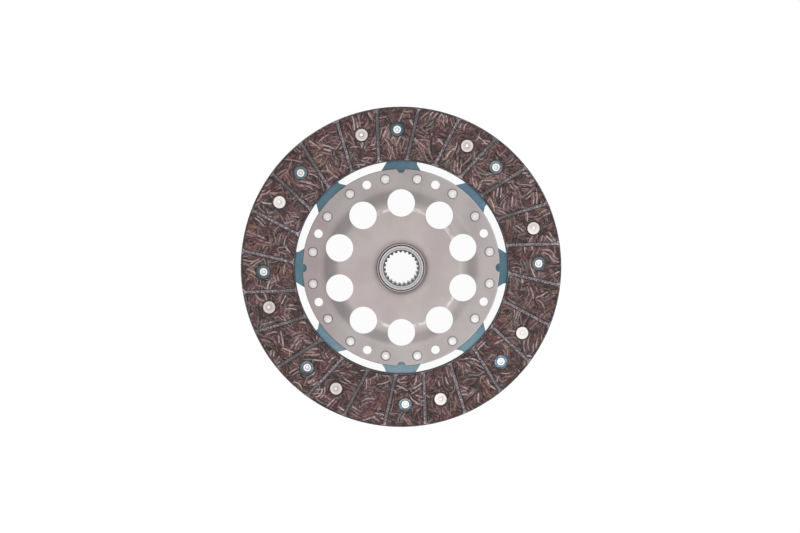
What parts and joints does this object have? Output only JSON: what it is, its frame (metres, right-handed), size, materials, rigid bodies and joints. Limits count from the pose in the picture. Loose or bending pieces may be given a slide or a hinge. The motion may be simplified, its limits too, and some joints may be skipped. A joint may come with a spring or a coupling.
{
  "type": "clutch friction disc",
  "caption": "Rigid-centre clutch disc: splined hub staked into a dished plate, cushion spring segments riveted behind its rim, grooved friction lining on each side.",
  "frame": {"origin": "centre of the hub's rear end face, which the disc rests on", "axes": "+Z along the disc's axis, out of the front face; +X from the axis through the middle of the first cushion segment's neck; +Y through the plate's tapered rim notch"},
  "size_m": [0.24, 0.24, 0.026],
  "materials": {
    "hub_steel": "turned and bright at its ends",
    "plate_steel": "satin cold-rolled sheet with a warm grey tint",
    "lining": "matte moulded resin full of short yarn strands, ground flat",
    "plate_rivet": "bright plated",
    "lining_rivet": "pale copper plate",
    "lining_rivet_tail": "bright rolled metal",
    "blued_spring": "tempered spring steel with a blue oxide skin"
  },
  "bodies": {
    "root": {"hub": "hub_steel", "hub_plate": "plate_steel", "front_lining": "lining", "rear_lining": "lining", "plate_rivets": "plate_rivet", "front_lining_rivets": "lining_rivet", "rear_lining_rivets": "lining_rivet_tail", "cushion_segment_1": "blued_spring", "cushion_segment_2": "blued_spring", "cushion_segment_3": "blued_spring", "cushion_segment_4": "blued_spring", "cushion_segment_5": "blued_spring", "cushion_segment_6": "blued_spring", "cushion_segment_7": "blued_spring", "cushion_segment_8": "blued_spring"}
  },
  "joints": []
}
